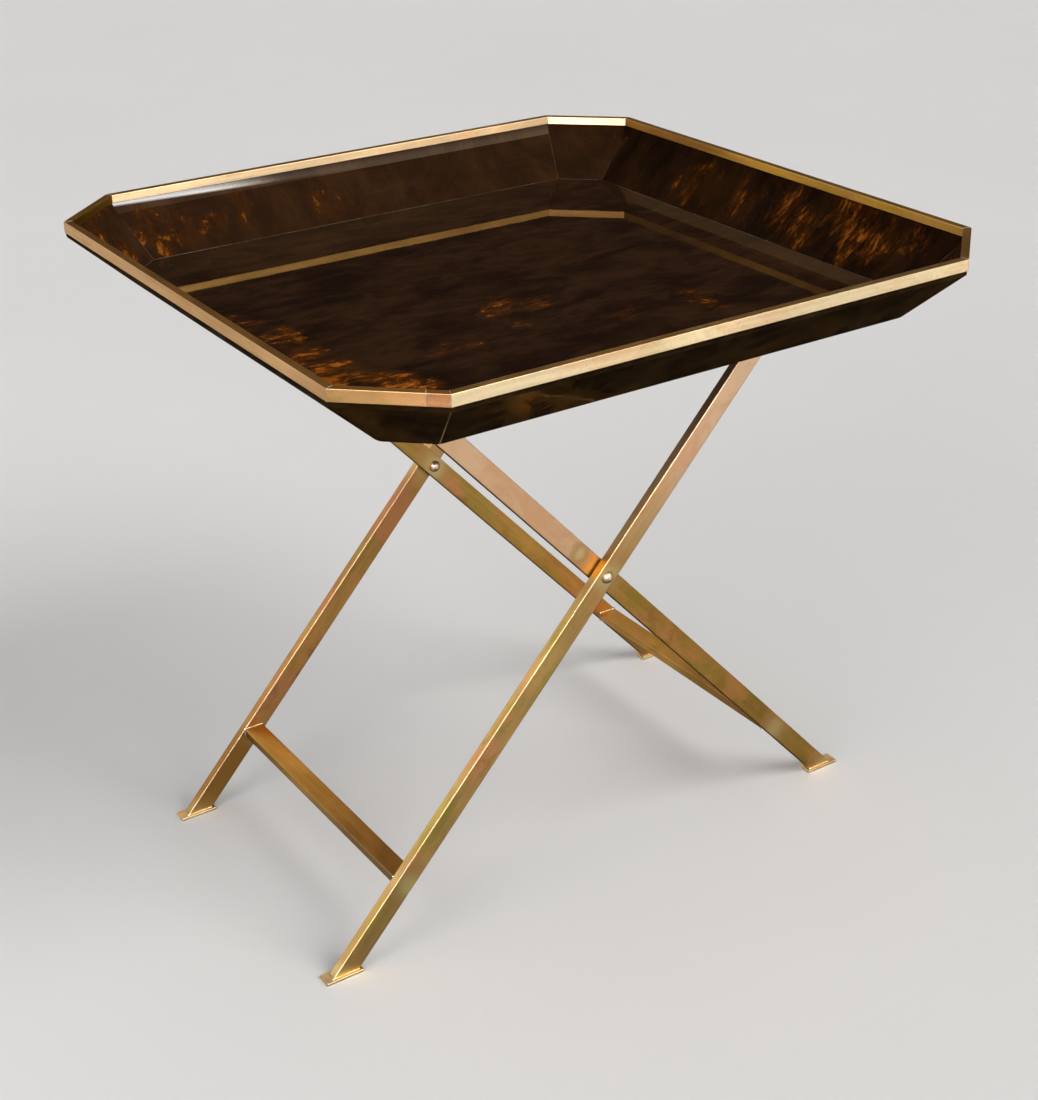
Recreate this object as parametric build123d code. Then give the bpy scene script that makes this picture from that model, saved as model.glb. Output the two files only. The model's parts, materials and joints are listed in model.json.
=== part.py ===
"""Tray table: a faux-tortoiseshell octagonal tray with a brass rim, resting on a
folding X-frame stand made of flat brass bar.  Millimetres, +Z up.

The origin is on the floor under the centre of the tray.  X runs across the stand,
along the direction its legs splay.  Y runs along the stretchers and the pivot axis.
"""
from build123d import *
import math
import os

# ---- tray outline and heights ------------------------------------------------------
tray_length = 618.0            # across X, over the brass rim
tray_width = 600.0             # across Y, over the brass rim
corner_cut_x = 64.0            # how far each cut corner reaches along X
corner_cut_y = 59.0            # and along Y
rim_top_z = 578.0              # height of the table over the floor
tray_underside_z = 517.0       # flat bottom of the tray, which rests on the stand
tray_depth = 53.4              # rim top down to the floor of the tray

# ---- brass rim: an inverted channel that caps the tray's upright edge ----------------
rim_width = 7.0
rim_outer_height = 10.0
rim_inner_height = 7.5
rim_gauge = 1.2
rim_edge_radius = 0.5
splice_fraction = 0.80         # where the front-left corner length is pieced

# ---- wooden shell and its linings ----------------------------------------------------
wall_lean = 47.0               # degrees from vertical
outer_lip_inset = 0.8          # the shell sits just behind the rim's outer face
outer_lip_depth = 14.0         # rim top to the foot of the outer upright edge
inner_lip_inset = 6.2
inner_lip_depth = 12.5
lining_thickness = 1.5
shell_edge_radius = 12.0       # soft outer arrises
shell_base_radius = 8.0        # rounded edge round the bottom

# ---- battens that keep the open stand from spreading ----------------------------------
batten_width = 16.0
batten_depth = 10.0
batten_length = 320.0
batten_play = 1.0              # gap from the batten to the end of the legs
batten_bevel = 3.0

# ---- folding stand ---------------------------------------------------------------------
stand_x = -8.0                 # the tray sits a little off the middle of the stand
stand_y = -5.0
pivot_z = 305.0
foot_spread = 277.5            # pivot axis to the middle of each foot, along X
leg_width = 19.0
leg_thickness = 8.5
leg_edge_radius = 0.6
outer_frame_width = 304.0      # over the outer faces of the outer legs
pivot_gap = 1.75               # washer between an outer and an inner leg
foot_length = 36.0
foot_width = 14.5
foot_thickness = 2.5
foot_edge_radius = 0.4

bar_width = 19.0               # stretchers and top rails, laid flat
bar_thickness = 8.5
stretcher_top_z = 77.0

# ---- pivot hardware ----------------------------------------------------------------------
pivot_shank_radius = 3.0
pivot_clearance = 0.05
dome_radius = 5.8
dome_height = 4.5
dome_collar = 0.6              # short straight edge under each dome
shank_reach = 3.0              # how far the shank runs into the nut
washer_radius = 7.5
end_float = 0.1                # total play along the pivot, at each washer and nut

# ---- worked out from the above -------------------------------------------------------------
half_x = tray_length / 2
half_y = tray_width / 2
run_per_rise = math.tan(math.radians(wall_lean))
splay = math.atan2(foot_spread, pivot_z)
leg_half_section = leg_width / 2 / math.cos(splay)   # along X, where a leg is cut level
outer_leg_y = (outer_frame_width - leg_thickness) / 2
inner_leg_y = outer_leg_y - leg_thickness - pivot_gap
leg_top_reach = (tray_underside_z - pivot_z) * math.tan(splay)
lining_back_inset = inner_lip_inset - lining_thickness / math.cos(math.radians(wall_lean))
level_tolerance = 0.01

lining_seat = tray_depth + lining_thickness          # depth of the carcass under the linings

side_names = [
    "front", "corner_front_right", "right", "corner_back_right",
    "back", "corner_back_left", "left", "corner_front_left",
]

# blocks that mitre the rim and the wall sheets reach this far past the tray's own surfaces
mitre_reach_out = 20.0
mitre_reach_in = 130.0
mitre_margin_z = 5.0


def octagon(inset, z):
    """Corners of the tray outline moved inwards by inset, counter-clockwise from front-left."""
    hx = half_x - inset
    hy = half_y - inset
    diagonal = math.hypot(corner_cut_x, corner_cut_y)
    nx = corner_cut_y / diagonal
    ny = corner_cut_x / diagonal
    reach = nx * half_x + ny * (half_y - corner_cut_y) - inset
    x_on_long = (reach - ny * hy) / nx
    y_on_long = (reach - nx * hx) / ny
    return [
        (-x_on_long, -hy, z), (x_on_long, -hy, z),
        (hx, -y_on_long, z), (hx, y_on_long, z),
        (x_on_long, hy, z), (-x_on_long, hy, z),
        (-hx, y_on_long, z), (-hx, -y_on_long, z),
    ]


def solid_from_rings(low, high):
    """Closed flat-faced solid between two rings with the same number of corners."""
    count = len(low)
    faces = [Face(Wire.make_polygon(low, close=True)), Face(Wire.make_polygon(high, close=True))]
    for i in range(count):
        j = (i + 1) % count
        faces.append(Face(Wire.make_polygon([low[i], low[j], high[j], high[i]], close=True)))
    return Solid(Shell(faces))


def tray_block(inset_low, depth_low, inset_high, depth_high):
    """Solid of the tray's outline between two depths below the rim top."""
    low = octagon(inset_low, rim_top_z - depth_low)
    high = octagon(inset_high, rim_top_z - depth_high)
    return solid_from_rings(low, high)


def side_wedge(side, start=0.0, end=1.0):
    """Block that holds one side of the tray up to its mitres, or a fraction of its length."""
    outside = octagon(-mitre_reach_out, 0)
    inside = octagon(mitre_reach_in, 0)

    def between(ring, fraction):
        a = Vector(*ring[side])
        b = Vector(*ring[(side + 1) % len(ring)])
        return a + (b - a) * fraction

    corners = [between(outside, start), between(outside, end),
               between(inside, end), between(inside, start)]
    low = [(p.X, p.Y, tray_underside_z - mitre_margin_z) for p in corners]
    high = [(p.X, p.Y, rim_top_z + mitre_margin_z) for p in corners]
    return solid_from_rings(low, high)


def level_edges(shape, z):
    """Edges of a shape that lie flat at a height."""
    return [e for e in shape.edges()
            if e.bounding_box().size.Z < level_tolerance and abs(e.center().Z - z) < level_tolerance]


def wall_inset(lip_inset, lip_depth, depth):
    """Inset of a sloping wall surface at a depth, given the foot of its lip."""
    return lip_inset + (depth - lip_depth) * run_per_rise


# ---- tray ------------------------------------------------------------------------------------
def tray_shell():
    """Carcass: sloping walls and bottom in one, with an upright edge that the rim caps."""
    base_depth = rim_top_z - tray_underside_z
    base_inset = wall_inset(outer_lip_inset, outer_lip_depth, base_depth)
    top_inset = wall_inset(outer_lip_inset, outer_lip_depth, rim_outer_height)
    shell = tray_block(base_inset, base_depth, top_inset, rim_outer_height)
    arrises = [e for e in shell.edges() if e.bounding_box().size.Z > level_tolerance]
    shell = fillet(arrises, shell_edge_radius)
    shell = fillet(level_edges(shell, tray_underside_z), shell_base_radius)
    shell &= tray_block(outer_lip_inset, base_depth, outer_lip_inset, rim_outer_height)
    shell += tray_block(rim_gauge, rim_outer_height, rim_gauge, rim_gauge)

    shell -= tray_block(wall_inset(lining_back_inset, inner_lip_depth, lining_seat), lining_seat,
                        lining_back_inset, inner_lip_depth)
    shell -= tray_block(inner_lip_inset, inner_lip_depth, inner_lip_inset, rim_inner_height)
    inner_tongue_inset = rim_width - rim_gauge
    shell -= tray_block(inner_tongue_inset, rim_inner_height, inner_tongue_inset, 0)
    return shell


def floor_panel():
    """Thin lacquered sheet on the bottom of the well, bevelled to fit between the wall sheets."""
    return tray_block(wall_inset(inner_lip_inset, inner_lip_depth, lining_seat), lining_seat,
                      wall_inset(inner_lip_inset, inner_lip_depth, tray_depth), tray_depth)


def wall_panels():
    """The eight lacquered wall sheets, as one ring that reaches down past the floor sheet's edge."""
    ring = tray_block(wall_inset(lining_back_inset, inner_lip_depth, lining_seat), lining_seat,
                      lining_back_inset, inner_lip_depth)
    ring -= tray_block(wall_inset(inner_lip_inset, inner_lip_depth, lining_seat), lining_seat,
                       inner_lip_inset, inner_lip_depth)
    return ring


def rim_channel():
    """The whole brass rim as one ring, before it is cut into mitred lengths."""
    ring = tray_block(0, rim_outer_height, 0, 0)
    ring -= tray_block(rim_width, rim_outer_height, rim_width, 0)
    ring = fillet(level_edges(ring, rim_top_z), rim_edge_radius)
    inner_flange = rim_width - rim_gauge
    groove = tray_block(rim_gauge, rim_outer_height, rim_gauge, rim_gauge)
    groove -= tray_block(inner_flange, rim_outer_height, inner_flange, rim_gauge)
    shortening = tray_block(rim_gauge, rim_outer_height, rim_gauge, rim_inner_height)
    return ring - groove - shortening


def batten(lean):
    """Strip under the tray, just outside the legs' top ends.  lean is +1 at +X, -1 at -X."""
    leg_end = lean * (leg_top_reach + leg_half_section)
    centre_x = stand_x + leg_end + lean * (batten_play + batten_width / 2)
    centre_z = tray_underside_z - batten_depth / 2
    strip = Pos(centre_x, stand_y, centre_z) * Box(batten_width, batten_length, batten_depth)
    return chamfer(level_edges(strip, tray_underside_z - batten_depth), batten_bevel)


# ---- stand --------------------------------------------------------------------------------------
def leg_centre_x(lean, z):
    """Where the middle of a leg is at a height.  lean is +1 if its top leans to +X."""
    return stand_x + lean * (z - pivot_z) * math.tan(splay)


def leg(lean, y):
    """Flat bar cut level at both ends, with the pivot hole through its wide faces."""
    low_x = leg_centre_x(lean, foot_thickness)
    high_x = leg_centre_x(lean, tray_underside_z)
    near_y = stand_y + y - leg_thickness / 2
    outline = [
        (low_x - leg_half_section, near_y, foot_thickness),
        (low_x + leg_half_section, near_y, foot_thickness),
        (high_x + leg_half_section, near_y, tray_underside_z),
        (high_x - leg_half_section, near_y, tray_underside_z),
    ]
    bar = extrude(Face(Wire.make_polygon(outline, close=True)), leg_thickness, dir=(0, 1, 0))
    long_edges = [e for e in bar.edges() if e.length > pivot_z]
    bar = fillet(long_edges, leg_edge_radius)
    return bar - rod_along_y(pivot_shank_radius + pivot_clearance, y, 2 * leg_thickness)


def rod_along_y(radius, y, length):
    """Cylinder on the pivot axis, centred at a distance y from the middle of the stand."""
    return Pos(stand_x, stand_y + y, pivot_z) * Rot(90, 0, 0) * Cylinder(radius, length)


def foot(lean, y):
    """Plate soldered under a leg.  lean is that of its leg, so the foot is on the other side."""
    plate = Box(foot_length, foot_width, foot_thickness)
    plate = fillet(plate.edges(), foot_edge_radius)
    return Pos(stand_x - lean * foot_spread, stand_y + y, foot_thickness / 2) * plate


def cross_bar(outer_edge_x, inward, span, top_z):
    """Flat bar laid level between two legs; inward is the direction from its outer edge along X."""
    bar = Box(bar_width, span, bar_thickness)
    bar = fillet(bar.edges().filter_by(Axis.Y), leg_edge_radius)
    return Pos(outer_edge_x + inward * bar_width / 2, stand_y, top_z - bar_thickness / 2) * bar


def stretcher(lean, span):
    outer_edge = leg_centre_x(lean, stretcher_top_z) - lean * leg_half_section
    return cross_bar(outer_edge, lean, span, stretcher_top_z)


def top_rail(lean, span):
    outer_edge = leg_centre_x(lean, tray_underside_z - bar_thickness) + lean * leg_half_section
    return cross_bar(outer_edge, -lean, span, tray_underside_z)


# ---- pivot hardware ---------------------------------------------------------------------------------
def dome(direction, face_y):
    """Domed button standing on a face; direction is +1 if it points to +Y."""
    sphere_radius = (dome_radius ** 2 + dome_height ** 2) / (2 * dome_height)
    profile_top = dome_collar + dome_height
    ball = Pos(0, 0, profile_top - sphere_radius) * Sphere(sphere_radius)
    cap = Pos(0, 0, dome_collar + dome_height / 2) * Cylinder(dome_radius, dome_height)
    button = (ball & cap) + Pos(0, 0, dome_collar / 2) * Cylinder(dome_radius, dome_collar)
    return Pos(stand_x, stand_y + face_y, pivot_z) * Rot(-90 * direction, 0, 0) * button


def pivot_screw(side):
    """Dome-headed screw from the outer face of an outer leg through both legs.  side is +1 at +Y."""
    head_face = side * (outer_leg_y + leg_thickness / 2)
    tip = side * (inner_leg_y - leg_thickness / 2 - end_float - shank_reach)
    shank = rod_along_y(pivot_shank_radius, (head_face + tip) / 2, abs(head_face - tip))
    return dome(side, head_face) + shank


def pivot_nut(side):
    """Dome nut on the inner face of an inner leg, with a blind hole for the screw."""
    face = side * (inner_leg_y - leg_thickness / 2 - end_float)
    hole_depth = shank_reach + end_float
    hole = rod_along_y(pivot_shank_radius + pivot_clearance, face - side * hole_depth / 2, hole_depth)
    return dome(-side, face) - hole


def pivot_washer(side):
    thickness = pivot_gap - end_float
    middle = side * (outer_leg_y - leg_thickness / 2 - pivot_gap / 2)
    disc = rod_along_y(washer_radius, middle, thickness)
    return disc - rod_along_y(pivot_shank_radius + pivot_clearance, middle, thickness)


# ---- parts -------------------------------------------------------------------------------------------
def build_parts():
    parts = {"tray_shell": tray_shell(), "floor_panel": floor_panel()}

    walls = wall_panels()
    rim = rim_channel()
    for side, name in enumerate(side_names):
        parts["wall_panel_" + name] = walls & side_wedge(side)
        spliced = name == "corner_front_left"
        end = splice_fraction if spliced else 1.0
        parts["rim_" + name] = rim & side_wedge(side, 0.0, end)
        if spliced:
            parts["rim_splice_front_left"] = rim & side_wedge(side, splice_fraction, 1.0)

    parts["batten_right"] = batten(+1)
    parts["batten_left"] = batten(-1)

    for frame, lean, leg_y in (("outer", +1, outer_leg_y), ("inner", -1, inner_leg_y)):
        span = 2 * leg_y - leg_thickness
        for place, side in (("front", -1), ("back", +1)):
            parts[frame + "_leg_" + place] = leg(lean, side * leg_y)
            parts[frame + "_foot_" + place] = foot(lean, side * leg_y)
        parts[frame + "_stretcher"] = stretcher(lean, span)
        parts[frame + "_top_rail"] = top_rail(lean, span)

    parts["pivot_screws"] = Compound([pivot_screw(side) for side in (-1, +1)])
    parts["pivot_nuts"] = Compound([pivot_nut(side) for side in (-1, +1)])
    parts["pivot_washers"] = Compound([pivot_washer(side) for side in (-1, +1)])
    return parts


if __name__ == "__main__":
    os.makedirs("parts", exist_ok=True)
    for node, shape in build_parts().items():
        export_step(shape, "parts/" + node + ".step")
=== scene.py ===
import json
import math

import bpy
from mathutils import Matrix, Vector, noise


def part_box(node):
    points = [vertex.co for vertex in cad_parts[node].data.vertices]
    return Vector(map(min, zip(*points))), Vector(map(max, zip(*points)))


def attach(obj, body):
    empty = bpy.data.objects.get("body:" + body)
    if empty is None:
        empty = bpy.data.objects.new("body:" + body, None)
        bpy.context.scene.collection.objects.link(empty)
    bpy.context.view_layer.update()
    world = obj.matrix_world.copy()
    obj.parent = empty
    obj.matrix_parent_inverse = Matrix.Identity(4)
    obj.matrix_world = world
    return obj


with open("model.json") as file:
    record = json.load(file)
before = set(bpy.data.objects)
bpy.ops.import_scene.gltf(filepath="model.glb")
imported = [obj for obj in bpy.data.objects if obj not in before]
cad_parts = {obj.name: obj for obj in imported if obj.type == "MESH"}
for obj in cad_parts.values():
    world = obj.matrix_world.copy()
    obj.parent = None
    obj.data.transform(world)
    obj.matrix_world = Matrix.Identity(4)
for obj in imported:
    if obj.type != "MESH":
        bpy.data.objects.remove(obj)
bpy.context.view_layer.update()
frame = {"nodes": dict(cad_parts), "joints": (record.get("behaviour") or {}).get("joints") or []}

nodes = frame["nodes"]
MM = 0.001


# ---------------------------------------------------------------------------------------------
# Node-tree shorthand
# ---------------------------------------------------------------------------------------------
class Tree:
    """Short calls for building the node tree of a material or of the world."""

    def __init__(self, tree):
        self.tree = tree
        tree.nodes.clear()

    def node(self, kind, inputs=None, **settings):
        made = self.tree.nodes.new("ShaderNode" + kind)
        for key, value in settings.items():
            setattr(made, key, value)
        for key, value in (inputs or {}).items():
            self.feed(made.inputs[key], value)
        return made

    def feed(self, socket, value):
        if isinstance(value, bpy.types.NodeSocket):
            self.tree.links.new(value, socket)
        elif socket.type == "RGBA" and len(value) == 3:
            socket.default_value = (*value, 1.0)
        else:
            socket.default_value = value

    def math(self, operation, a, b=0.0, c=0.0, clamp=False):
        made = self.node("Math", {0: a, 1: b}, operation=operation, use_clamp=clamp)
        if operation in ("MULTIPLY_ADD", "COMPARE", "WRAP"):
            self.feed(made.inputs[2], c)
        return made.outputs[0]

    def vmath(self, operation, a, b=(0, 0, 0)):
        made = self.node("VectorMath", {0: a, 1: b}, operation=operation)
        return made.outputs["Value" if operation in ("DOT_PRODUCT", "LENGTH", "DISTANCE") else "Vector"]

    def step(self, value, low, high, out_low=0.0, out_high=1.0):
        """Smooth step of value between low and high."""
        made = self.node("MapRange", {"Value": value, "From Min": low, "From Max": high,
                                      "To Min": out_low, "To Max": out_high},
                         interpolation_type="SMOOTHSTEP")
        return made.outputs[0]

    def mix(self, factor, a, b, blend="MIX"):
        made = self.node("Mix", data_type="RGBA", blend_type=blend, clamp_factor=True)
        for index, value in ((0, factor), (6, a), (7, b)):
            self.feed(made.inputs[index], value)
        return made.outputs[2]

    def noise(self, vector, scale, detail=3.0, rough=0.55, distortion=0.0, offset=None):
        if offset is not None:
            vector = self.vmath("ADD", vector, offset)
        made = self.node("TexNoise", {"Vector": vector, "Scale": scale, "Detail": detail,
                                      "Roughness": rough, "Distortion": distortion})
        return made.outputs["Fac"]

    def noise_vector(self, vector, scale, detail=2.0):
        made = self.node("TexNoise", {"Vector": vector, "Scale": scale, "Detail": detail})
        return made.outputs["Color"]

    def stretched(self, vector, factors):
        return self.vmath("MULTIPLY", vector, factors)

    def bump(self, height, distance, strength=1.0, normal=None):
        inputs = {"Height": height, "Distance": distance, "Strength": strength}
        if normal is not None:
            inputs["Normal"] = normal
        return self.node("Bump", inputs).outputs[0]

    def near(self, position, point, radius):
        """1 at a point, falling smoothly to 0 at a radius."""
        away = self.vmath("DISTANCE", position, point)
        return self.step(away, radius, radius * 0.15)

    def ragged_near(self, position, point, radius, scale, detail, reach):
        """The same with an outline that wanders by up to half of reach each way."""
        wander = self.stretched(self.noise_vector(position, scale, detail), (reach, reach, reach))
        centre = tuple(value + reach / 2 for value in point)
        return self.near(self.vmath("ADD", position, wander), centre, radius)


def lobe(t, direction, axis, outer, inner):
    """1 within the inner angle of an axis, falling to 0 at the outer one."""
    facing = t.vmath("DOT_PRODUCT", direction, tuple(Vector(axis).normalized()))
    return t.step(facing, math.cos(math.radians(outer)), math.cos(math.radians(inner)))


def new_material(name):
    material = bpy.data.materials.new(name)
    material.use_nodes = True
    return material, Tree(material.node_tree)


def object_coordinates(t):
    return t.node("TexCoord").outputs["Object"]


def softened(t, radius):
    """Normal with every arris of a solid rounded off."""
    return t.node("Bevel", {"Radius": radius}, samples=6).outputs[0]


def arris_mask(t, rounded, low=0.01, high=0.13):
    """1 on the arrises of a solid, 0 on its flat faces."""
    flat = t.node("NewGeometry").outputs["True Normal"]
    turn = t.math("SUBTRACT", 1.0, t.vmath("DOT_PRODUCT", rounded, flat))
    return t.step(turn, low, high)


# ---------------------------------------------------------------------------------------------
# Brass
# ---------------------------------------------------------------------------------------------
GOLD = (0.64, 0.415, 0.135)
DEEP_GOLD = (0.62, 0.370, 0.095)
COPPER = (0.68, 0.320, 0.135)
OLIVE = (0.42, 0.315, 0.068)
PALE = (1.00, 0.94, 0.76)
BROWN = (0.26, 0.125, 0.030)
SOLDERED = (0.66, 0.56, 0.24)
FRINGE = (0.50, 0.24, 0.07)
# Colour of painted shade in dark patches.
SPOT_SHADE_COLOUR = (0.27, 0.135, 0.030)
# Colour of painted shade on faces that look up.
TOP_SHADE_COLOUR = (0.23, 0.115, 0.012)


def brass(name, turn, seed, base=GOLD, copper=0.85, olive=0.85, tarnish=0.6, rough=0.40, patch_scale=30.0,
          marks=(), shade_spots=(), edge_radius=0.0010, lift=0.0, top_shade=0.0, metallic=1.0, lit_top=None,
          tone=None):
    """Aged satin brass.  turn is the rotation that brings the length of the piece onto X.  marks
    are (point, radius) places with the paler, greener metal that soldering leaves, and the shade
    spots are dark places of painted shade.  lift leans the shading of upright faces upwards, as on
    a rim with slightly rounded flanks, and the top shade is how strongly faces that look up are
    darkened, a painted shade.  The lit top is (height where a paler part begins, height where it is
    complete, its colour), a painted highlight, and tone a colour that the whole piece is dulled by."""
    material, t = new_material(name)
    place = object_coordinates(t)
    here = t.vmath("ADD", place, (seed * 1.37, seed * 0.71, seed * 0.29))
    along = t.node("VectorRotate", {"Vector": here, "Rotation": turn}, rotation_type="EULER_XYZ").outputs[0]
    facing = t.node("NewGeometry").outputs["True Normal"]
    rounded = softened(t, edge_radius)

    grain = t.noise(t.stretched(along, (22.0, 1300.0, 1300.0)), 1.0, 2.0, 0.6)
    long_grain = t.noise(t.stretched(along, (6.0, 230.0, 230.0)), 1.0, 3.0, 0.6)
    streaky = t.stretched(along, (0.55, 1.0, 1.0))
    patch = t.noise(streaky, patch_scale, 8.0, 0.66, 0.6)
    clouds = t.noise(streaky, patch_scale * 0.40, 4.0, 0.6, 0.7, offset=(3.1, 1.7, 5.3))
    olives = t.noise(streaky, patch_scale * 0.72, 8.0, 0.68, 0.7, offset=(7.7, 2.9, 0.4))
    browns = t.noise(streaky, patch_scale * 1.1, 9.0, 0.74, 0.4, offset=(0.6, 6.1, 2.2))
    specks = t.noise(here, 620.0, 4.0, 0.75, 0.4)
    pits = t.noise(here, 1900.0, 2.0, 0.6)

    colour = t.mix(t.step(clouds, 0.38, 0.62), base, tuple(0.72 * c for c in base))
    colour = t.mix(t.math("MULTIPLY", t.step(patch, 0.47, 0.60), copper), colour, COPPER)
    colour = t.mix(t.math("MULTIPLY", t.step(olives, 0.50, 0.60), olive), colour, OLIVE)
    colour = t.mix(t.math("MULTIPLY", t.step(browns, 0.51, 0.68), tarnish), colour, BROWN)
    colour = t.mix(t.math("MULTIPLY", t.step(specks, 0.56, 0.70), 0.55), colour, BROWN)
    colour = t.mix(t.math("MULTIPLY", t.step(long_grain, 0.34, 0.70), 0.30), colour,
                   tuple(min(1.0, 1.25 * c) for c in base))
    if tone:
        colour = t.mix(1.0, colour, tone, "MULTIPLY")
    # Paler above a height: a painted highlight where the piece catches more light.
    if lit_top:
        height = t.node("SeparateXYZ", {"Vector": place}).outputs["Z"]
        ragged_height = t.math("MULTIPLY_ADD", t.math("SUBTRACT", clouds, 0.5), 0.10, height)
        lit_mottle = t.mix(t.step(patch, 0.42, 0.60), lit_top[2], COPPER)
        colour = t.mix(t.math("MULTIPLY", t.step(ragged_height, lit_top[0], lit_top[1]), 0.85), colour,
                       t.mix(0.40, lit_top[2], lit_mottle))
    for point, radius in marks:
        halo = t.ragged_near(place, point, radius, 90.0, 4.0, 0.010)
        colour = t.mix(t.math("MULTIPLY", halo, 0.70), colour, SOLDERED)
        fringe = t.math("MULTIPLY", halo, t.math("SUBTRACT", 1.0, halo))
        colour = t.mix(t.math("MULTIPLY", fringe, 2.2), colour, FRINGE)
    # Darker patches: painted shade.
    for point, radius in shade_spots:
        shade = t.ragged_near(place, point, radius, 22.0, 5.0, 0.060)
        colour = t.mix(t.math("MULTIPLY", shade, 0.85), colour, SPOT_SHADE_COLOUR)
    # Faces that look up are darkened: a painted shade, for the dark that they reflect.
    if top_shade:
        level = t.step(t.vmath("DOT_PRODUCT", facing, (0.0, 0.0, 1.0)), 0.5, 0.9)
        uneven = t.math("MULTIPLY", level, t.step(browns, 0.30, 0.50, 0.6, 1.0))
        colour = t.mix(t.math("MULTIPLY", uneven, top_shade), colour, TOP_SHADE_COLOUR)
    # Paler arrises: partly worn metal, partly a painted highlight along them.
    edge = arris_mask(t, rounded)
    ragged_edge = t.math("MULTIPLY", edge, t.step(t.noise(here, 160.0, 4.0, 0.7), 0.20, 0.44))
    colour = t.mix(t.math("MULTIPLY", ragged_edge, 0.95), colour, PALE)

    roughness = t.math("MULTIPLY_ADD", t.math("SUBTRACT", patch, 0.5), 0.45, rough)
    roughness = t.math("MULTIPLY_ADD", t.math("SUBTRACT", grain, 0.5), 0.22, roughness)
    roughness = t.math("MULTIPLY_ADD", ragged_edge, -0.12, roughness, clamp=True)
    normal = rounded
    if lift:
        normal = t.vmath("NORMALIZE", t.vmath("ADD", normal, (0.0, 0.0, lift)))
    normal = t.bump(grain, 0.00005, 0.7, normal)
    normal = t.bump(long_grain, 0.00018, 0.40, normal)
    normal = t.bump(patch, 0.0006, 0.28, normal)
    normal = t.bump(pits, 0.00005, 0.5, normal)
    shader = t.node("BsdfPrincipled", {"Base Color": colour, "Metallic": metallic, "Roughness": roughness,
                                       "Normal": normal})
    t.node("OutputMaterial", {"Surface": shader.outputs[0]})
    return material


# ---------------------------------------------------------------------------------------------
# Lacquer
# ---------------------------------------------------------------------------------------------
# Rise of the glossy band that shows a painted highlight, per unit of X.
HIGHLIGHT_SLOPE = 0.0267
SHADE_BAND = 0.0012      # height over which the gloss fades out, as painted shade
DUST = (0.060, 0.038, 0.025)


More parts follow.
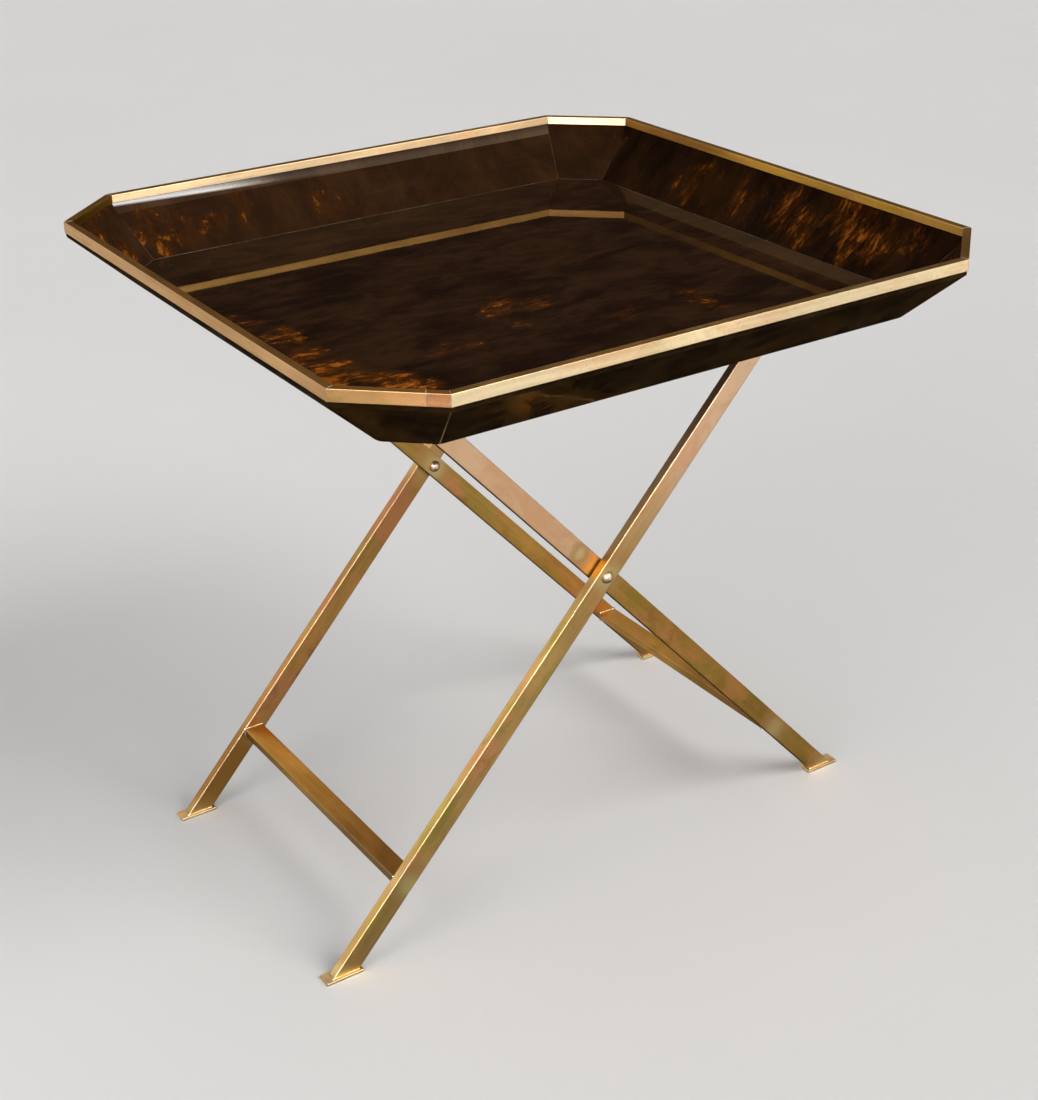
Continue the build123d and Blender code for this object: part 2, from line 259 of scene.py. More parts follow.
def tortoiseshell(name, seed, clusters=(), dark=(0.0105, 0.0048, 0.0026), brown=(0.042, 0.0175, 0.0066),
                  amber=(0.25, 0.066, 0.0065), fleck_scale=95.0, cloud_scale=24.0, spread=0.20,
                  cloud_strength=0.8, haze=0.014, streak=(1.0, 1.0, 1.0), coat=0.8,
                  coat_ior=1.5, ripple_depth=0.00016, fibre=0.15, shaded_above=None, polished=None):
    """High-gloss faux tortoiseshell.  clusters are (point, radius, strength) places where the
    amber flecks gather, and spread is how many there are everywhere else.  coat is how strong the
    gloss is, and above a given height it is taken away, as painted shade.  The highlight band is
    (height where a glossy band starts, height where it is complete, X where it begins to fade, X where
    it has gone), a band that shows a painted highlight; that height rises by a fixed slope as it runs to
    -X."""
    material, t = new_material(name)
    here = object_coordinates(t)
    shifted = t.vmath("ADD", here, (seed * 0.913, seed * 0.377, seed * 0.541))
    drawn = t.stretched(shifted, streak)
    swirl = t.vmath("SUBTRACT", t.noise_vector(drawn, 18.0, 3.0), (0.5, 0.5, 0.5))
    warped = t.vmath("ADD", drawn, t.stretched(swirl, (0.030, 0.030, 0.030)))

    clouds = t.noise(warped, cloud_scale, 8.0, 0.70, 0.3)
    wide = t.noise(warped, cloud_scale * 0.3, 3.0, 0.5, 0.4, offset=(2.2, 8.1, 4.4))
    flecks = t.noise(warped, fleck_scale, 8.0, 0.78, 0.15)
    blots = t.noise(warped, fleck_scale * 0.42, 7.0, 0.70, 0.3, offset=(1.1, 5.2, 9.3))

    gather = t.math("MULTIPLY", t.step(wide, 0.48, 0.76), spread)
    for point, radius, strength in clusters:
        loose = t.vmath("ADD", here, t.stretched(
            t.vmath("SUBTRACT", t.noise_vector(here, 26.0, 5.0), (0.5, 0.5, 0.5)), (0.09, 0.09, 0.09)))
        blob = t.math("MULTIPLY", t.near(loose, point, radius), strength)
        gather = t.math("MAXIMUM", gather, blob)

    field = t.math("MULTIPLY_ADD", flecks, 0.62, t.math("MULTIPLY", blots, 0.38))
    over = t.math("SUBTRACT", field, t.math("MULTIPLY_ADD", gather, -0.175, 0.665))
    fleck = t.step(over, 0.0, 0.060)
    glow = t.step(over, -0.110, 0.030)

    colour = t.mix(t.math("MULTIPLY", t.step(clouds, 0.38, 0.68), cloud_strength), dark, brown)
    colour = t.mix(t.math("MULTIPLY", glow, t.math("MULTIPLY_ADD", gather, 0.85, 0.06)), colour,
                   tuple(0.34 * a for a in amber))
    hot = t.mix(t.step(t.noise(shifted, 75.0, 4.0), 0.44, 0.62), amber,
                (amber[0] * 1.5, amber[1] * 1.7, amber[2] * 2.0))
    colour = t.mix(t.math("MULTIPLY", fleck, 0.95), colour, hot)

    sanding = t.noise(t.stretched(shifted, (14.0, 300.0, 300.0)), 1.0, 3.0, 0.6)
    veil = t.math("MULTIPLY", t.step(sanding, 0.45, 0.75), t.step(wide, 0.40, 0.70))
    colour = t.mix(t.math("MULTIPLY", veil, 0.16), colour, DUST)
    roughness = t.math("MULTIPLY_ADD", sanding, 0.10, 0.32)
    coat_rough = t.math("MULTIPLY_ADD", t.step(clouds, 0.35, 0.75), haze, 0.008)
    ripple = t.noise(shifted, 21.0, 3.0, 0.5)
    fibres = t.noise(t.stretched(shifted, (700.0, 700.0, 60.0)), 1.0, 3.0, 0.6)
    coat_normal = t.bump(ripple, ripple_depth, 0.30)
    coat_normal = t.bump(fibres, 0.00002, fibre, coat_normal)
    under = t.bump(flecks, 0.0002, 0.35)
    # Gloss taken away above a height: painted shade under the rim.
    if shaded_above:
        height = t.node("SeparateXYZ", {"Vector": here}).outputs["Z"]
        coat = t.step(height, shaded_above, shaded_above + SHADE_BAND, coat, 0.05 * coat)
    # A glossy band shaped so that the studio's highlight shows only there: a painted highlight.
    if polished:
        low, high, near_x, far_x = polished
        across = t.vmath("DOT_PRODUCT", here, (HIGHLIGHT_SLOPE, 0.0, 1.0))
        along = t.vmath("DOT_PRODUCT", here, (1.0, 0.0, 0.0))
        ragged = t.math("MULTIPLY_ADD", t.math("SUBTRACT", fibres, 0.5), 0.05, along)
        coat = t.math("MULTIPLY", t.step(across, low, high, 0.0, coat),
                      t.step(ragged, near_x, far_x, 1.0, 0.04))
    shader = t.node("BsdfPrincipled", {"Base Color": colour, "Roughness": roughness, "IOR": 1.45,
                                       "Specular IOR Level": 0.0, "Normal": under,
                                       "Coat Weight": coat, "Coat Roughness": coat_rough,
                                       "Coat IOR": coat_ior, "Coat Normal": coat_normal})
    t.node("OutputMaterial", {"Surface": shader.outputs[0]})
    return material


def stained_wood(name, seed):
    """Dark stained hardwood with the grain along Y."""
    material, t = new_material(name)
    here = t.vmath("ADD", object_coordinates(t), (seed, 0, 0))
    drawn = t.stretched(here, (1.0, 0.06, 1.0))
    rings = t.noise(drawn, 130.0, 5.0, 0.65, 1.4)
    fibres = t.noise(t.stretched(here, (1.0, 0.02, 1.0)), 1500.0, 2.0, 0.6)
    colour = t.mix(t.step(rings, 0.35, 0.68), (0.045, 0.020, 0.009), (0.155, 0.075, 0.032))
    colour = t.mix(t.math("MULTIPLY", t.step(fibres, 0.5, 0.75), 0.45), colour, (0.020, 0.010, 0.006))
    ragged = t.step(t.noise(here, 110.0, 3.0), 0.35, 0.6)
    edge = t.math("MULTIPLY", arris_mask(t, softened(t, 0.0016)), ragged)
    colour = t.mix(t.math("MULTIPLY", edge, 0.6), colour, (0.26, 0.15, 0.075))
    normal = t.bump(fibres, 0.00015, 0.5, t.bump(rings, 0.0004, 0.35))
    roughness = t.math("MULTIPLY_ADD", rings, 0.2, 0.36)
    shader = t.node("BsdfPrincipled", {"Base Color": colour, "Roughness": roughness, "Normal": normal})
    t.node("OutputMaterial", {"Surface": shader.outputs[0]})
    return material


# ---------------------------------------------------------------------------------------------
# Measures and places
# ---------------------------------------------------------------------------------------------
HALF_X = (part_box("rim_right")[1].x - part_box("rim_left")[0].x) / 2
HALF_Y = (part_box("rim_back")[1].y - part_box("rim_front")[0].y) / 2
RIM_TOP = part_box("rim_front")[1].z
CUT_X = HALF_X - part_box("rim_front")[1].x
CUT_Y = HALF_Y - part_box("rim_right")[1].y
FLOOR_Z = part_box("floor_panel")[1].z
FLOOR_INSET = HALF_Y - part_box("floor_panel")[1].y
RIM_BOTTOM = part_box("rim_front")[0].z

# Measures that the boxes don't give, as they are in the CAD.
RIM_WIDTH = 7.0 * MM
RIM_INNER = 7.5 * MM                           # height of the rim's inner face
SHELL_EDGE_Z = RIM_BOTTOM - 4.6 * MM           # just below the shell's upright outer edge
LIP_INSET = 6.2 * MM                           # inner face of the shell's edge, inside the rim
LIP_DEPTH = 12.5 * MM                          # and where that ends, below the top of the rim
BAR_WIDTH = 19.0 * MM
LEG_RUN = 277.5 * MM                           # from the pivot to the middle of a foot, along X
LEG_RISE = 305.0 * MM                          # and in height

WASHER_PRINT = (-0.0295, -0.1467, 0.3300)      # mark an old washer left on the front inner leg
LOW_LEG_SHADE = (-0.235, 0.052)                    # X and Z of a second painted shade, low on the back outer leg
# Y of the painted shade over the front of each stretcher.
STRETCHER_SHADE_Y = -0.115
PIVOT = next(Vector(joint["pos_m"]) for joint in frame["joints"] if joint["type"] == "hinge")
SIDES = ["front", "corner_front_right", "right", "corner_back_right",
         "back", "corner_back_left", "left", "corner_front_left"]


def octagon(inset, z):
    """Corners of the tray outline moved inwards by inset, counter-clockwise from front-left."""
    hx = HALF_X - inset
    hy = HALF_Y - inset
    diagonal = math.hypot(CUT_X, CUT_Y)
    nx = CUT_Y / diagonal
    ny = CUT_X / diagonal
    reach = nx * HALF_X + ny * (HALF_Y - CUT_Y) - inset
    x_long = (reach - ny * hy) / nx
    y_long = (reach - nx * hx) / ny
    return [Vector(p) for p in (
        (-x_long, -hy, z), (x_long, -hy, z), (hx, -y_long, z), (hx, y_long, z),
        (x_long, hy, z), (-x_long, hy, z), (-hx, y_long, z), (-hx, -y_long, z))]


# ---------------------------------------------------------------------------------------------
# New pieces: seams, solder and joint lines
# ---------------------------------------------------------------------------------------------
def mesh_object(name, vertices, faces, material, body):
    """Smooth-shaded new piece that rides a body."""
    mesh = bpy.data.meshes.new(name)
    mesh.from_pydata([tuple(v) for v in vertices], [], faces)
    mesh.update()
    for polygon in mesh.polygons:
        polygon.use_smooth = True
    mesh.materials.append(material)
    made = bpy.data.objects.new(name, mesh)
    bpy.context.scene.collection.objects.link(made)
    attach(made, body)
    return made


SIDES_OF_TUBE = 8
SHARPEST_MITRE = 0.3      # keeps the mitre of a very sharp corner from running away


def sweep(points, radii, closed):
    """Vertices and faces of a tube along a line, mitred at its corners."""
    sides = SIDES_OF_TUBE
    count = len(points)
    tangents = []
    for i in range(count if closed else count - 1):
        tangents.append((points[(i + 1) % count] - points[i]).normalized())
    frames = []
    side = tangents[0].orthogonal().normalized()
    for k, tangent in enumerate(tangents):
        if k:
            side = tangents[k - 1].rotation_difference(tangent) @ side
        side = (side - tangent * side.dot(tangent)).normalized()
        frames.append((tangent, side, tangent.cross(side)))
    vertices = []
    for i in range(count):
        if closed:
            tangent, u, w = frames[i]
            before = frames[i - 1][0]
        else:
            tangent, u, w = frames[min(i, len(frames) - 1)]
            before = frames[max(i - 1, 0)][0]
        mitre = (before + tangent).normalized()
        for s in range(sides):
            angle = 2 * math.pi * s / sides
            offset = (u * math.cos(angle) + w * math.sin(angle)) * radii[i]
            offset -= tangent * (offset.dot(mitre) / max(SHARPEST_MITRE, tangent.dot(mitre)))
            vertices.append(points[i] + offset)
    faces = []
    for i in range(count if closed else count - 1):
        for s in range(sides):
            a = i * sides + s
            b = i * sides + (s + 1) % sides
            c = ((i + 1) % count) * sides + (s + 1) % sides
            d = ((i + 1) % count) * sides + s
            faces.append((a, b, c, d))
    if not closed:
        faces.append(tuple(reversed(range(sides))))
        faces.append(tuple(range((count - 1) * sides, count * sides)))
    return vertices, faces


def divided(points, pitch, closed):
    """The same line with a point about every pitch."""
    out = []
    pairs = zip(points, points[1:] + points[:1]) if closed else zip(points, points[1:])
    for a, b in pairs:
        steps = max(1, round((b - a).length / pitch))
        out += [a.lerp(b, k / steps) for k in range(steps)]
    if not closed:
        out.append(points[-1])
    return out


WANDER_SCALE = 420.0      # how fast the width of a solder fillet or seam wanders, per metre


def joined_beads(name, lines, radius, material, body, pitch=0.0, wobble=0.0):
    """One piece of fine raised lines, or of solder fillets, whose width wanders by wobble."""
    vertices, faces = [], []
    for points, closed in lines:
        if pitch:
            points = divided(points, pitch, closed)
        radii = [radius * (1.0 + wobble * noise.noise(p * WANDER_SCALE)) for p in points]
        tube_vertices, tube_faces = sweep(points, radii, closed)
        faces += [tuple(i + len(vertices) for i in face) for face in tube_faces]
        vertices += tube_vertices
    return mesh_object(name, vertices, faces, material, body)


# ---------------------------------------------------------------------------------------------
# Materials on the CAD nodes
# ---------------------------------------------------------------------------------------------
def wear(node, material):
    mesh = nodes[node].data
    mesh.materials.clear()
    mesh.materials.append(material)


splay = math.atan2(LEG_RUN, LEG_RISE)
UP_RIGHT = (0.0, math.pi / 2 - splay, 0.0)      # outer legs, which lean to +X
UP_LEFT = (0.0, math.pi / 2 + splay, 0.0)       # inner legs
ALONG_Y = (0.0, 0.0, -math.pi / 2)
ALONG_X = (0.0, 0.0, 0.0)
cut_angle = math.atan2(CUT_Y, CUT_X)

rim_turns = {
    "front": ALONG_X, "back": ALONG_X, "left": ALONG_Y, "right": ALONG_Y,
    "corner_front_right": (0, 0, -cut_angle), "corner_back_left": (0, 0, -cut_angle),
    "corner_back_right": (0, 0, cut_angle), "corner_front_left": (0, 0, cut_angle),
}
# Rim colours; how they differ from side to side is painted light and shade.
RIM_CREAM = (0.88, 0.645, 0.365)
RIM_PALE = (0.97, 0.77, 0.46)
RIM_TAN = (0.86, 0.53, 0.245)
RIM_OLIVE = (0.78, 0.475, 0.072)
RIM_ROSE = (0.78, 0.49, 0.28)
RIM_BROWN = (0.63, 0.375, 0.168)
RIM_SPLICE = (0.56, 0.285, 0.140)
rim_looks = {      # colour of each side, painted light and shade as each side catches the light, and how far the shading of its flanks leans up
    "front": (RIM_PALE, 0.16), "corner_front_right": (RIM_OLIVE, 0.0), "right": (RIM_OLIVE, 0.19),
    "corner_back_right": (RIM_ROSE, 0.20), "back": (RIM_CREAM, 0.20), "corner_back_left": (RIM_OLIVE, 0.0),
    "left": (RIM_TAN, 0.10), "corner_front_left": (RIM_BROWN, 0.06),
}
# Painted shade towards the back end of the right rim.
rim_shade_spots = {"right": [((0.303, 0.160, 0.574), 0.150)]}
for index, side in enumerate(SIDES):
    base, lean_up = rim_looks[side]
    wear("rim_" + side, brass("rim_" + side, rim_turns[side], 3 + index, base=base, copper=0.35, olive=0.18,
                              tarnish=0.15, rough=0.38, patch_scale=26.0, edge_radius=0.0006, lift=lean_up,
                              top_shade=0.92, shade_spots=rim_shade_spots.get(side, ())))
wear("rim_splice_front_left", brass("rim_splice", rim_turns["corner_front_left"], 14.5, base=RIM_SPLICE,
                                    copper=0.75, olive=0.05, tarnish=0.1, rough=0.38, patch_scale=26.0,
                                    edge_radius=0.0006, lift=0.06, top_shade=0.92))

# Painted highlights: heights where each leg starts and ends turning paler, and that colour.
leg_lit_tops = {"outer_leg_front": (PIVOT.z + 0.005, PIVOT.z + 0.115, (1.0, 0.70, 0.44)),
              "inner_leg_front": (PIVOT.z - 0.020, PIVOT.z + 0.040, (0.86, 0.585, 0.345))}
leg_tones = {"outer_leg_back": (0.70, 0.62, 0.66), "inner_leg_front": (0.78, 0.77, 0.58),
             "inner_leg_back": (0.95, 0.90, 0.85)}
for frame_name, lean, turn in (("outer", 1, UP_RIGHT), ("inner", -1, UP_LEFT)):
    stretch_low, stretch_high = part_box(frame_name + "_stretcher")
    rail_low, rail_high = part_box(frame_name + "_top_rail")
    for number, place in enumerate(("front", "back")):
        node = frame_name + "_leg_" + place
        low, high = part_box(node)
        y = (low.y + high.y) / 2
        foot_low, foot_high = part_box(frame_name + "_foot_" + place)
        marks = [
            ((PIVOT.x, y, PIVOT.z), 0.034),
            (((foot_low.x + foot_high.x) / 2, y, foot_high.z), 0.026),
            (((stretch_low.x + stretch_high.x) / 2, y, stretch_low.z), 0.030),
            (((rail_low.x + rail_high.x) / 2, y, rail_low.z), 0.030),
        ]
        if node == "inner_leg_front":
            marks.append((WASHER_PRINT, 0.013))
        seed = 20 + 5 * number + (0 if lean > 0 else 11)
        # Painted shade: the back legs turn darker towards the foot, the back outer leg more so.
        dark_places = []
        if place == "back":
            dark_places.append((((foot_low.x + foot_high.x) / 2 + lean * 0.018, y, 0.045), 0.085))
        if node == "outer_leg_back":
            dark_places.append(((LOW_LEG_SHADE[0], y, LOW_LEG_SHADE[1]), 0.070))
        base = GOLD if node == "outer_leg_front" else DEEP_GOLD
        lit_top = leg_lit_tops.get(node)
        tone = leg_tones.get(node, (1.0, 1.0, 1.0))
        wear(node, brass(node, turn, seed, base=base, marks=marks, shade_spots=dark_places, lit_top=lit_top,
                         tone=tone, edge_radius=0.0012))
        foot = frame_name + "_foot_" + place
        wear(foot, brass(foot, ALONG_X, seed + 2, base=(0.90, 0.70, 0.36), olive=0.4, copper=0.3,
                         tarnish=0.4, patch_scale=60.0, edge_radius=0.0008))
    ends = [Vector(((stretch_low.x + stretch_high.x) / 2, y, stretch_low.z))
            for y in (stretch_low.y, stretch_high.y)]
    # Painted shade over the front of the stretcher.
    dark_places = [(((stretch_low.x + stretch_high.x) / 2, STRETCHER_SHADE_Y, stretch_high.z), 0.19)]
    stretcher, top_rail = frame_name + "_stretcher", frame_name + "_top_rail"
    wear(stretcher, brass(stretcher, ALONG_Y, 47 + lean, copper=0.5, olive=0.6,
                          marks=[(tuple(end), 0.022) for end in ends], shade_spots=dark_places,
                          tone=(0.95, 0.90, 0.62)))
    wear(top_rail, brass(top_rail, ALONG_Y, 53 + lean, olive=0.7))
for index, node in enumerate(("pivot_screws", "pivot_nuts")):
    wear(node, brass(node, ALONG_X, 61 + index, base=(0.78, 0.58, 0.42), copper=0.25, olive=0.1,
                     tarnish=0.15, rough=0.34, patch_scale=120.0, edge_radius=0.0004, metallic=0.8))
wear("pivot_washers", brass("pivot_washers", ALONG_X, 65, copper=0.3, olive=0.8, rough=0.30,
                            patch_scale=150.0))


def on_floor(x, y):
    return (x, y, FLOOR_Z)


floor_clusters = [
    (on_floor(-0.236, 0.050), 0.034, 0.70), (on_floor(-0.232, 0.000), 0.044, 0.85),
    (on_floor(-0.232, -0.050), 0.050, 0.95), (on_floor(-0.226, -0.098), 0.060, 1.00),
    (on_floor(-0.210, -0.135), 0.058, 1.00), (on_floor(-0.185, -0.160), 0.040, 0.80),
    (on_floor(-0.028, -0.048), 0.044, 0.80), (on_floor(-0.052, -0.085), 0.032, 0.65),
    (on_floor(0.105, -0.128), 0.040, 0.70), (on_floor(0.036, -0.125), 0.036, 0.50),
    (on_floor(-0.125, -0.105), 0.050, 0.55),
]
wear("floor_panel", tortoiseshell("tortoiseshell_floor", 1, floor_clusters, spread=0.20, fleck_scale=105.0,
                                  cloud_strength=0.75, dark=(0.0125, 0.0058, 0.0032),
                                  brown=(0.040, 0.0175, 0.0072), amber=(0.30, 0.080, 0.0075),
                                  streak=(0.60, 1.25, 1.0), coat=0.50))
wall_clusters = {
    "back": [((-0.222, 0.276, 0.549), 0.050, 0.80), ((-0.200, 0.262, 0.537), 0.050, 0.85),
             ((-0.165, 0.272, 0.546), 0.044, 0.70), ((-0.125, 0.280, 0.553), 0.040, 0.60),
             ((-0.038, 0.268, 0.541), 0.046, 0.62)],
    "corner_back_left": [((-0.262, 0.236, 0.545), 0.070, 0.95)],
    "corner_back_right": [((0.262, 0.250, 0.553), 0.025, 0.40)],
    "right": [((0.282, 0.100, 0.546), 0.044, 0.85), ((0.280, 0.026, 0.545), 0.050, 0.70),
              ((0.285, -0.030, 0.550), 0.055, 0.80), ((0.280, -0.070, 0.544), 0.052, 0.85),
              ((0.292, -0.110, 0.556), 0.048, 1.00), ((0.282, -0.140, 0.546), 0.050, 1.00),
              ((0.290, -0.180, 0.555), 0.050, 0.80)],
    "corner_front_right": [((0.262, -0.245, 0.545), 0.060, 0.90)],
    "front": [((-0.10, -0.27, 0.545), 0.06, 0.8), ((0.12, -0.27, 0.545), 0.05, 0.7)],
    "left": [((-0.28, 0.08, 0.545), 0.05, 0.8), ((-0.28, -0.10, 0.545), 0.06, 0.9)],
    "corner_front_left": [((-0.262, -0.245, 0.545), 0.045, 0.8)],
}
wall_gloss = {"corner_back_left": 0.25, "corner_back_right": 0.6, "left": 0.5, "front": 0.5}


def wall_lacquer(name, side, **gloss):
    """Lacquer of one side of the well; pieces on the same side share one continuous pattern."""
    looks = {"streak": (1.2, 0.8, 0.6), "dark": (0.0230, 0.0100, 0.0042), "brown": (0.045, 0.0190, 0.0065),
             "amber": (0.17, 0.048, 0.006)}
    if side in ("left", "right"):
        looks = {"streak": (0.5, 1.5, 0.5), "dark": (0.0105, 0.0045, 0.0020),
                 "brown": (0.034, 0.0130, 0.0038), "amber": (0.205, 0.055, 0.0055)}
    looks.update(gloss)
    return tortoiseshell(name + side, 31 + 7 * SIDES.index(side), wall_clusters[side], spread=0.40,
                         fleck_scale=100.0, **looks)


for side in SIDES:
    wear("wall_panel_" + side, wall_lacquer("tortoiseshell_wall_", side, coat=wall_gloss.get(side, 0.8)))
# The shell's gloss is taken away just under the rim, as painted shade.
wear("tray_shell", tortoiseshell("tortoiseshell_shell", 91, spread=0.45, fleck_scale=60.0,
                                 cloud_scale=20.0, cloud_strength=1.0, dark=(0.0095, 0.0048, 0.0018),
                                 brown=(0.036, 0.0185, 0.0050), amber=(0.13, 0.050, 0.008),
                                 haze=0.16, coat=0.40, ripple_depth=0.0005,
                                 shaded_above=SHELL_EDGE_Z))
for index, node in enumerate(("batten_left", "batten_right")):
    wear(node, stained_wood(node, 0.37 * index))

# ---------------------------------------------------------------------------------------------
# Lacquer seams, rim joints and solder
# ---------------------------------------------------------------------------------------------
seam_material = tortoiseshell("seam_lacquer", 120, dark=(0.022, 0.012, 0.007), brown=(0.16, 0.110, 0.070),
                              amber=(0.20, 0.12, 0.06), cloud_scale=14.0, cloud_strength=1.0, coat=0.5)
joined_beads("lacquer_seams_floor", [(octagon(FLOOR_INSET, FLOOR_Z), True)], 0.24 * MM, seam_material,
             "tray", pitch=0.006, wobble=0.5)


def cove_profile():
    """(inset, depth) points of the hollow curve from under the rim down onto the sloping wall."""
    top_lean, wall_lean, length, count = math.radians(22.5), math.radians(32.0), 10.4 * MM, 10
    inset, depth = LIP_INSET + 0.05 * MM, RIM_INNER + 0.1 * MM
    points = [(inset, depth)]
    for k in range(count):
        lean = top_lean + (wall_lean - top_lean) * (k + 0.5) / count
        inset += math.sin(lean) * length / count
        depth += math.cos(lean) * length / count
        points.append((inset, depth))
    return points


# Glossy band on the back lip, placed to show a painted highlight.
LIP_HIGHLIGHT_BAND = (RIM_TOP - 0.0176, RIM_TOP - 0.0150, -0.165, -0.065)
cove = cove_profile()
behind = [(cove[-1][0] - 0.5 * MM, cove[-1][1] + 0.2 * MM), (LIP_INSET - 0.4 * MM, LIP_DEPTH),
          (LIP_INSET - 0.4 * MM, RIM_INNER + 0.1 * MM)]
section = cove + behind
rings = [octagon(inset, RIM_TOP - depth) for inset, depth in section]
cove_vertices = [p for ring in rings for p in ring]
cove_faces = []
for k in range(len(section)):
    following = (k + 1) % len(section)
    for i in range(8):
        j = (i + 1) % 8
        cove_faces.append((k * 8 + i, k * 8 + j, following * 8 + j, following * 8 + i))
cove_object = mesh_object("lacquer_cove", cove_vertices, cove_faces,
                          wall_lacquer("tortoiseshell_cove_", SIDES[0], coat=0.0), "tray")
for side in SIDES[1:]:
    gloss = {"coat": 0.0}
    # The back lip's glossy band shows a painted highlight.
    if side == "back":
        gloss = {"coat": 0.92, "coat_ior": 2.3, "haze": 0.03, "fibre": 0.9, "dark": (0.045, 0.023, 0.0125),
                 "brown": (0.082, 0.042, 0.022), "polished": LIP_HIGHLIGHT_BAND}
    cove_object.data.materials.append(wall_lacquer("tortoiseshell_cove_", side, **gloss))
for polygon in cove_object.data.polygons:
    polygon.material_index = polygon.index % len(SIDES)
cove_object.modifiers.new("crease", "EDGE_SPLIT").split_angle = math.radians(20.0)

top_of_wall = octagon(cove[-1][0], RIM_TOP - cove[-1][1])
foot_of_wall = octagon(FLOOR_INSET, FLOOR_Z)
joined_beads("lacquer_seams_corners", [([a, b], False) for a, b in zip(foot_of_wall, top_of_wall)],
             0.22 * MM, seam_material, "tray", pitch=0.006, wobble=0.5)

# Near-white joint lines where the rim pieces meet; their paleness is a painted highlight.
pale_joint_line = brass("joint_line", ALONG_X, 77, base=(0.96, 0.88, 0.72), copper=0.1, olive=0.1, tarnish=0.1,
               rough=0.5, metallic=0.25)


def rim_section(point_at):
    """Line over the outer face, top and inner face of the rim; point_at(inset, z) is a point on it."""
    soft = 0.35 * MM      # cuts across the rounded edges
    return [point_at(0.0, RIM_BOTTOM), point_at(0.0, RIM_TOP - soft), point_at(soft, RIM_TOP),
            point_at(RIM_WIDTH - soft, RIM_TOP), point_at(RIM_WIDTH, RIM_TOP - soft),
            point_at(RIM_WIDTH, RIM_TOP - RIM_INNER)]


mitres = [(rim_section(lambda inset, z, i=i: octagon(inset, z)[i]), False) for i in range(8)]
joined_beads("rim_mitre_lines", mitres, 0.16 * MM, pale_joint_line, "tray", wobble=0.3)

SPLICE_AT = 0.80      # along the front-left corner, from its left end


def at_splice(inset, z):
    ring = octagon(inset, z)
    return ring[7].lerp(ring[0], SPLICE_AT)


joined_beads("rim_splice_line", [(rim_section(at_splice), False)], 0.15 * MM, pale_joint_line, "tray")

solder_material = brass("solder", ALONG_X, 83, base=(0.76, 0.68, 0.40), copper=0.35, olive=0.5, rough=0.42,
                        patch_scale=220.0, edge_radius=0.0004)


def rectangle(x0, x1, y0, y1, z0, z1):
    """Corners of a level or an upright rectangle, whichever the equal pair of limits gives."""
    if z0 == z1:
        return [Vector(p) for p in ((x0, y0, z0), (x1, y0, z0), (x1, y1, z0), (x0, y1, z0))]
    return [Vector(p) for p in ((x0, y0, z0), (x1, y0, z0), (x1, y0, z1), (x0, y0, z1))]


half_section = BAR_WIDTH / 2 / math.cos(splay)
for frame_name, lean in (("outer", 1), ("inner", -1)):
    loops = []
    for place in ("front", "back"):
        low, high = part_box(frame_name + "_leg_" + place)
        foot_low, foot_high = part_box(frame_name + "_foot_" + place)
        leg_x = PIVOT.x + lean * (foot_high.z - PIVOT.z) * math.tan(splay)
        loops.append((rectangle(leg_x - half_section, leg_x + half_section, low.y, high.y,
                                foot_high.z, foot_high.z), True))
    joined_beads(frame_name + "_foot_solder", loops, 0.75 * MM, solder_material, frame_name + "_frame",
                 pitch=0.0013, wobble=0.55)
    for bar in ("stretcher", "top_rail"):
        low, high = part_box(frame_name + "_" + bar)
        loops = [(rectangle(low.x, high.x, y, y, low.z, high.z), True) for y in (low.y, high.y)]
        joined_beads(frame_name + "_" + bar + "_solder", loops, 0.65 * MM, solder_material,
                     frame_name + "_frame", pitch=0.0013, wobble=0.6)

# ---------------------------------------------------------------------------------------------
# Floor, world, lights
# ---------------------------------------------------------------------------------------------
# What shiny surfaces see, wherever they look: (direction, outer and inner angle in degrees, colour).
REFLECTED_LIGHTS = (
    ((0.30, -0.94, 0.05), 52, 8, (1.20, 1.14, 1.16)),
    ((0.0687, -0.785, 0.616), 25, 12, (6.0, 6.0, 6.3)),
    ((0.46, -0.574, 0.673), 17, 6, (5.0, 4.3, 2.5)),
    ((-0.62, 0.74, -0.25), 40, 6, (0.76, 0.70, 0.62)),
    ((-0.60, 0.66, 0.45), 21, 16, (1.40, 1.36, 1.50)),
    ((0.33, 0.58, 0.75), 24, 8, (1.50, 1.20, 0.98)),
    ((-0.75, -0.55, -0.35), 40, 6, (0.72, 0.64, 0.56)),
    ((0.97, 0.00, -0.20), 35, 6, (0.30, 0.26, 0.20)),
    ((0.72, 0.68, -0.14), 27, 8, (0.40, 0.34, 0.24)),
    ((-0.62, -0.64, 0.44), 27, 15, (9.0, 8.8, 8.6)),
    ((-0.20, 0.95, 0.22), 13, 8, (1.6, 1.6, 1.6)),
    ((0.311, 0.447, -0.838), 2.3, 0.8, (1.9, 1.25, 0.58)),
    ((0.455, 0.670, -0.590), 5.5, 2.0, (0.80, 0.54, 0.26)),
)
REFLECTED_DARK = (0.0100, 0.0085, 0.0070)
REFLECTED_TWICE = (0.55, 0.42, 0.22)      # warm dimming of what is seen by way of two surfaces


def reflected_studio(t, direction):
    colour = None
    for axis, outer, inner, light in REFLECTED_LIGHTS:
        shine = lobe(t, direction, axis, outer, inner)
        colour = t.mix(shine, colour if colour else REFLECTED_DARK, light, "ADD")
    twice = t.step(t.node("LightPath").outputs["Glossy Depth"], 1.2, 1.8)
    return t.mix(twice, colour, REFLECTED_TWICE, "MULTIPLY")


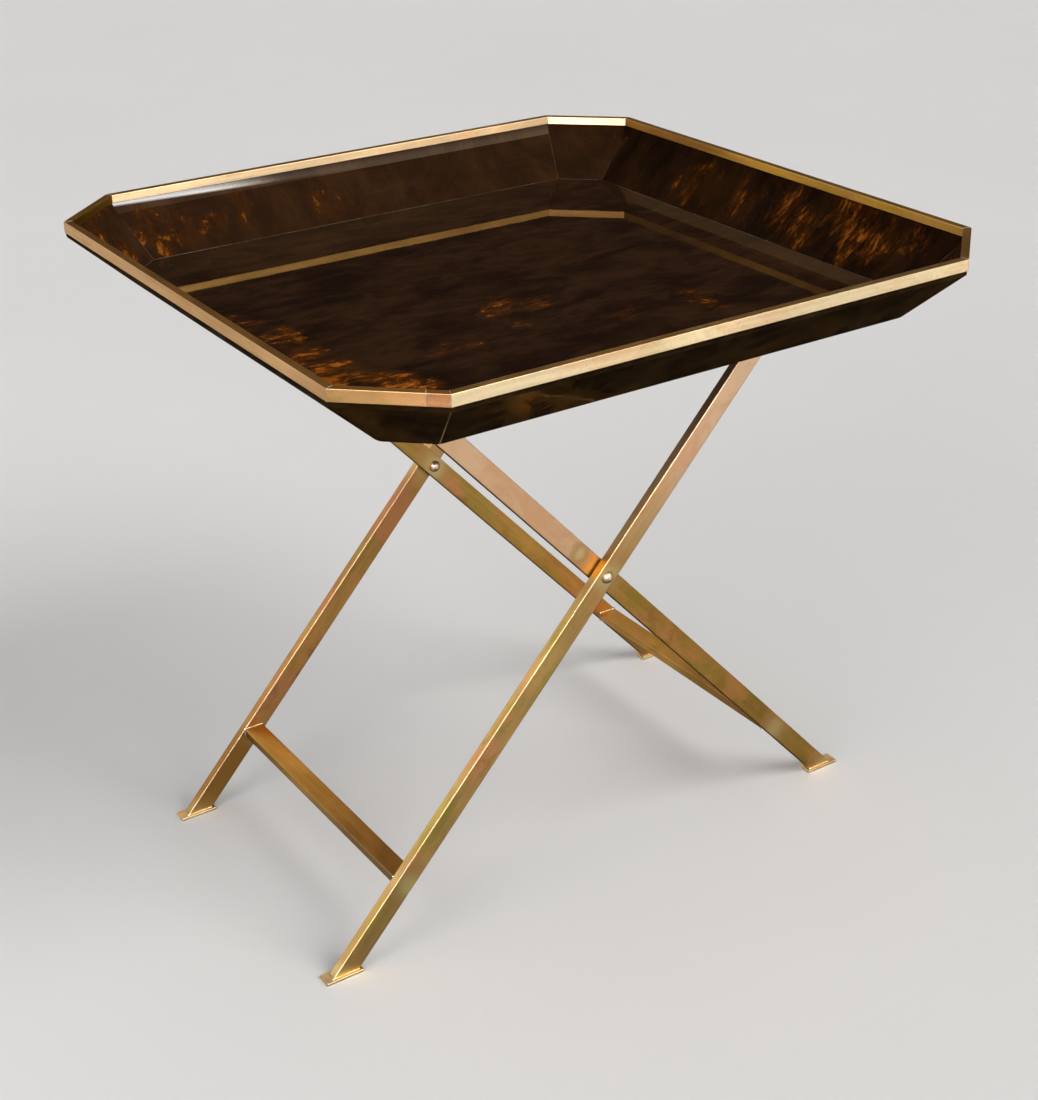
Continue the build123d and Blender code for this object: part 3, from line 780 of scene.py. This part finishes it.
floor_mesh = bpy.data.meshes.new("studio_floor")
reach = 14.0      # metres to each side
floor_level = -0.2 * MM      # clear of the feet, which would flicker against it from below
floor_mesh.from_pydata([(-reach, -reach, floor_level), (reach, -reach, floor_level),
                        (reach, reach, floor_level), (-reach, reach, floor_level)], [], [(0, 1, 2, 3)])
studio_floor = bpy.data.objects.new("studio_floor", floor_mesh)
bpy.context.scene.collection.objects.link(studio_floor)
material, t = new_material("studio_floor")
here = object_coordinates(t)
uneven = t.noise(here, 1.3, 4.0, 0.6)
pale = t.mix(uneven, (0.70, 0.69, 0.675), (0.75, 0.74, 0.725))
grit = t.bump(t.noise(here, 240.0, 3.0, 0.6), 0.0004, 0.2)
seen = t.node("BsdfPrincipled", {"Base Color": pale, "Roughness": 0.8, "Normal": grit,
                                 "Specular IOR Level": 0.15})
# Seen by glossy rays, the floor glows with the studio rather than being lit: a painted reflection.
leaving = t.stretched(t.node("NewGeometry").outputs["Incoming"], (-1.0, -1.0, -1.0))
studio_glow = t.node("Emission", {"Color": reflected_studio(t, leaving), "Strength": 1.0})
is_glossy = t.node("LightPath").outputs["Is Glossy Ray"]
chosen = t.node("MixShader", {0: is_glossy, 1: seen.outputs[0], 2: studio_glow.outputs[0]})
from_below = t.node("NewGeometry").outputs["Backfacing"]
nothing = t.node("BsdfTransparent")
open_below = t.node("MixShader", {0: from_below, 1: chosen.outputs[0], 2: nothing.outputs[0]})
t.node("OutputMaterial", {"Surface": open_below.outputs[0]})
floor_mesh.materials.append(material)

world = bpy.data.worlds.new("studio")
bpy.context.scene.world = world
world.use_nodes = True
t = Tree(world.node_tree)
direction = t.node("TexCoord").outputs["Generated"]
paths = t.node("LightPath")
SOFT_FILL = (0.50, 0.50, 0.51)
PALE_BACKDROP = (0.72, 0.71, 0.70)
colour = t.mix(paths.outputs["Is Camera Ray"], SOFT_FILL, PALE_BACKDROP)
colour = t.mix(paths.outputs["Is Glossy Ray"], colour, reflected_studio(t, direction))
back = t.node("Background", {"Color": colour, "Strength": 1.0})
t.node("OutputWorld", {"Surface": back.outputs[0]})


def aimed(name, data, location, target):
    """Light at a place, pointing at a target, that is neither seen nor reflected itself."""
    made = bpy.data.objects.new(name, data)
    bpy.context.scene.collection.objects.link(made)
    made.location = location
    made.rotation_mode = "QUATERNION"
    made.rotation_quaternion = (Vector(target) - Vector(location)).to_track_quat("-Z", "Y")
    made.visible_camera = False
    made.visible_glossy = False
    return made


key = bpy.data.lights.new("key", "SUN")
key.energy = 1.9
key.angle = math.radians(38.0)
key.color = (1.0, 0.985, 0.965)
aimed("key", key, (1.5, -2.0, 2.3), (0.0, 0.0, 0.3))
side_light = bpy.data.lights.new("side", "AREA")
side_light.shape = "RECTANGLE"
side_light.size = 1.4
side_light.size_y = 1.6
side_light.energy = 22.0
aimed("side", side_light, (-2.4, -0.8, 2.0), (0.0, 0.0, 0.35))

# ---------------------------------------------------------------------------------------------
# Camera, placed as it was for the photograph
# ---------------------------------------------------------------------------------------------
camera_place = Vector((-0.84530, -1.29290, 1.04809))
azimuth, elevation, roll = -0.57561, 0.46479, -0.0192      # radians
back_axis = Vector((math.sin(azimuth) * math.cos(elevation), -math.cos(azimuth) * math.cos(elevation),
                    math.sin(elevation)))
right_axis = Vector((math.cos(azimuth), math.sin(azimuth), 0.0))
up_axis = back_axis.cross(right_axis)
turned_right = math.cos(roll) * right_axis + math.sin(roll) * up_axis
turned_up = math.cos(roll) * up_axis - math.sin(roll) * right_axis
camera_data = bpy.data.cameras.new("camera")
camera_data.sensor_width = 36.0
camera_data.lens = 60.530
camera_data.shift_x = 0.00923
camera_data.shift_y = -0.00840
camera_data.clip_start = 0.02
camera_data.clip_end = 60.0
camera = bpy.data.objects.new("camera", camera_data)
bpy.context.scene.collection.objects.link(camera)
camera.matrix_world = Matrix((
    (turned_right.x, turned_up.x, back_axis.x, camera_place.x),
    (turned_right.y, turned_up.y, back_axis.y, camera_place.y),
    (turned_right.z, turned_up.z, back_axis.z, camera_place.z),
    (0.0, 0.0, 0.0, 1.0),
))
bpy.context.scene.camera = camera
bpy.context.scene.view_settings.view_transform = "Standard"
